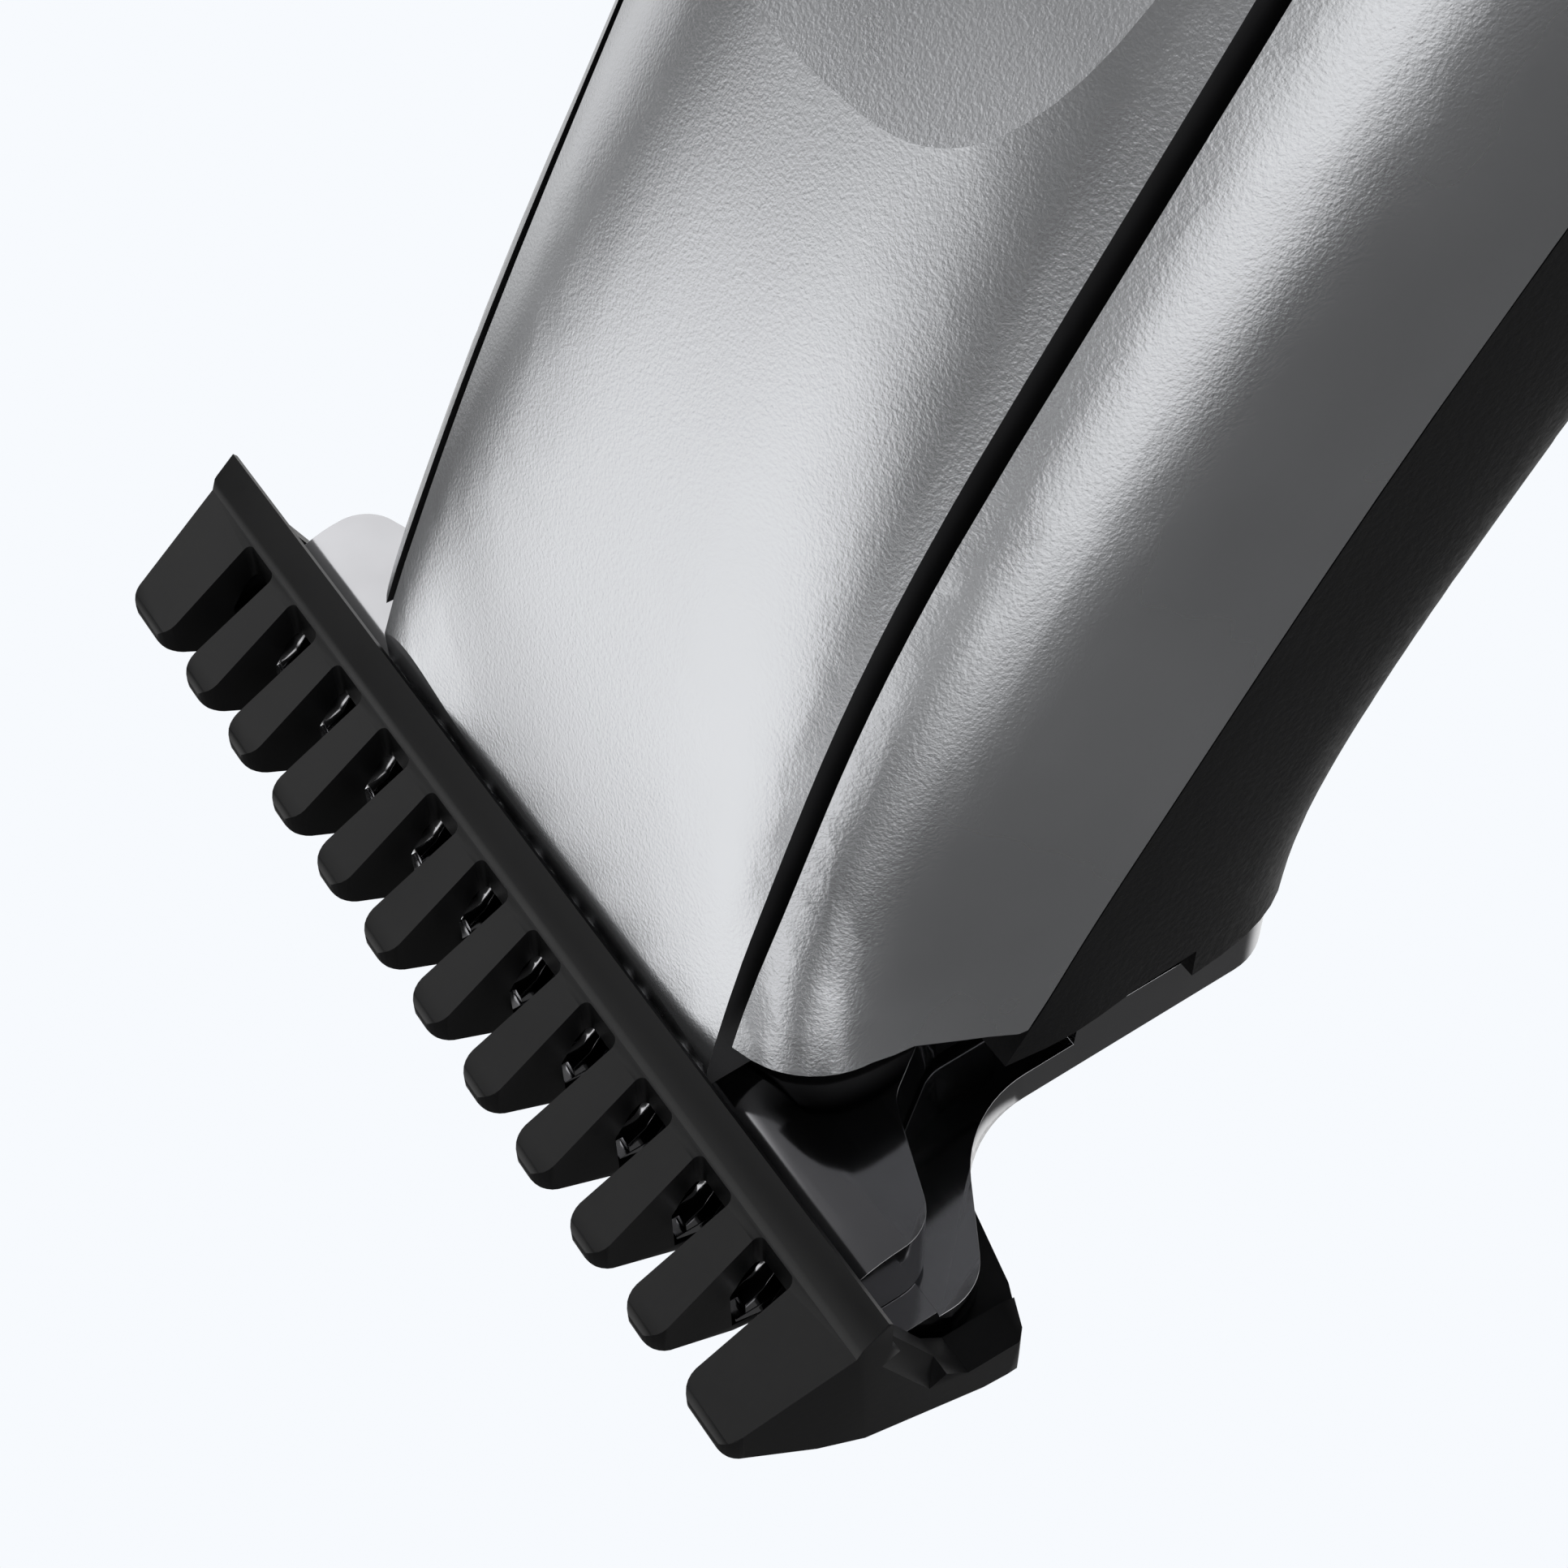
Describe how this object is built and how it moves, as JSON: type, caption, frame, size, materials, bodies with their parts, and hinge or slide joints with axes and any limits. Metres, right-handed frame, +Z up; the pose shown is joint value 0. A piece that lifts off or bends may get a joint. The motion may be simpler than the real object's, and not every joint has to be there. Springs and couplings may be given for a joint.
{
  "type": "hair clipper",
  "caption": "Cordless T-blade hair clipper with silver casing, black rear shell and a clip-on guide comb.",
  "frame": {"origin": "centre of the bounding box on the flat base that the clipper stands on", "axes": "+Z up along the handle to the blades, -Y out of the front panel, X across the width"},
  "size_m": [0.0436, 0.032, 0.1525],
  "materials": {
    "silver_body": "fine-grained metallic silver paint",
    "black_shell": "fine-textured matte black",
    "dark_steel": "polished dark steel",
    "black_inner": "moulded black",
    "screw_steel": "plated",
    "spring_steel": "drawn wire",
    "comb_black": "satin moulded black",
    "follower_plastic": "natural acetal",
    "motor_can": "zinc-plated",
    "shaft_steel": "ground",
    "brass_cam": "turned",
    "board_green": "solder mask",
    "chip_black": "moulded",
    "button_black": "gloss black",
    "clear_pipe": "clear",
    "lamp_white": "encapsulated",
    "cell_wrap": "shrink-wrapped",
    "tab_nickel": "nickel strip",
    "lead_red": "insulated",
    "port_steel": "plated shell"
  },
  "bodies": {
    "housing": {"front_panel": "silver_body", "left_side_panel": "silver_body", "right_side_panel": "silver_body", "rear_shell": "black_shell", "tail_cap": "black_shell", "fixed_blade": "dark_steel", "blade_seat": "black_inner", "blade_screws": "screw_steel", "blade_spring": "spring_steel", "motor": "motor_can", "motor_mount": "black_inner", "chassis": "black_inner", "case_screws": "screw_steel", "tail_screws": "screw_steel", "circuit_board": "board_green", "board_parts": "chip_black", "tact_switch": "chip_black", "light_pipe": "clear_pipe", "status_light": "lamp_white", "battery_cell": "cell_wrap", "battery_tabs": "tab_nickel", "motor_leads": "lead_red", "charge_board": "board_green", "charge_port": "port_steel"},
    "cutter": {"moving_blade": "dark_steel", "cam_follower": "follower_plastic"},
    "rotor": {"motor_shaft": "shaft_steel", "eccentric": "brass_cam"},
    "button": {"power_button": "button_black"},
    "comb": {"guide_comb": "comb_black"}
  },
  "joints": [
    {"name": "cutter_slide", "type": "slide", "parent": "housing", "child": "cutter", "axis": [1, 0, 0], "range_m": [-0.0008, 0.0008]},
    {"name": "motor_spin", "type": "hinge", "parent": "housing", "child": "rotor", "pos_m": [0, -0.004, 0.12], "axis": [0, 0, 1], "continuous": true},
    {"name": "power_button_press", "type": "slide", "parent": "housing", "child": "button", "axis": [0, 1, 0], "range_m": [0, 0.0003], "stiffness_N_per_m": 2500, "springref_m": -0.0002},
    {"name": "guide_comb_slide", "type": "slide", "parent": "housing", "child": "comb", "axis": [0, -0.866, 0.5], "range_m": [0, 0.012]}
  ]
}
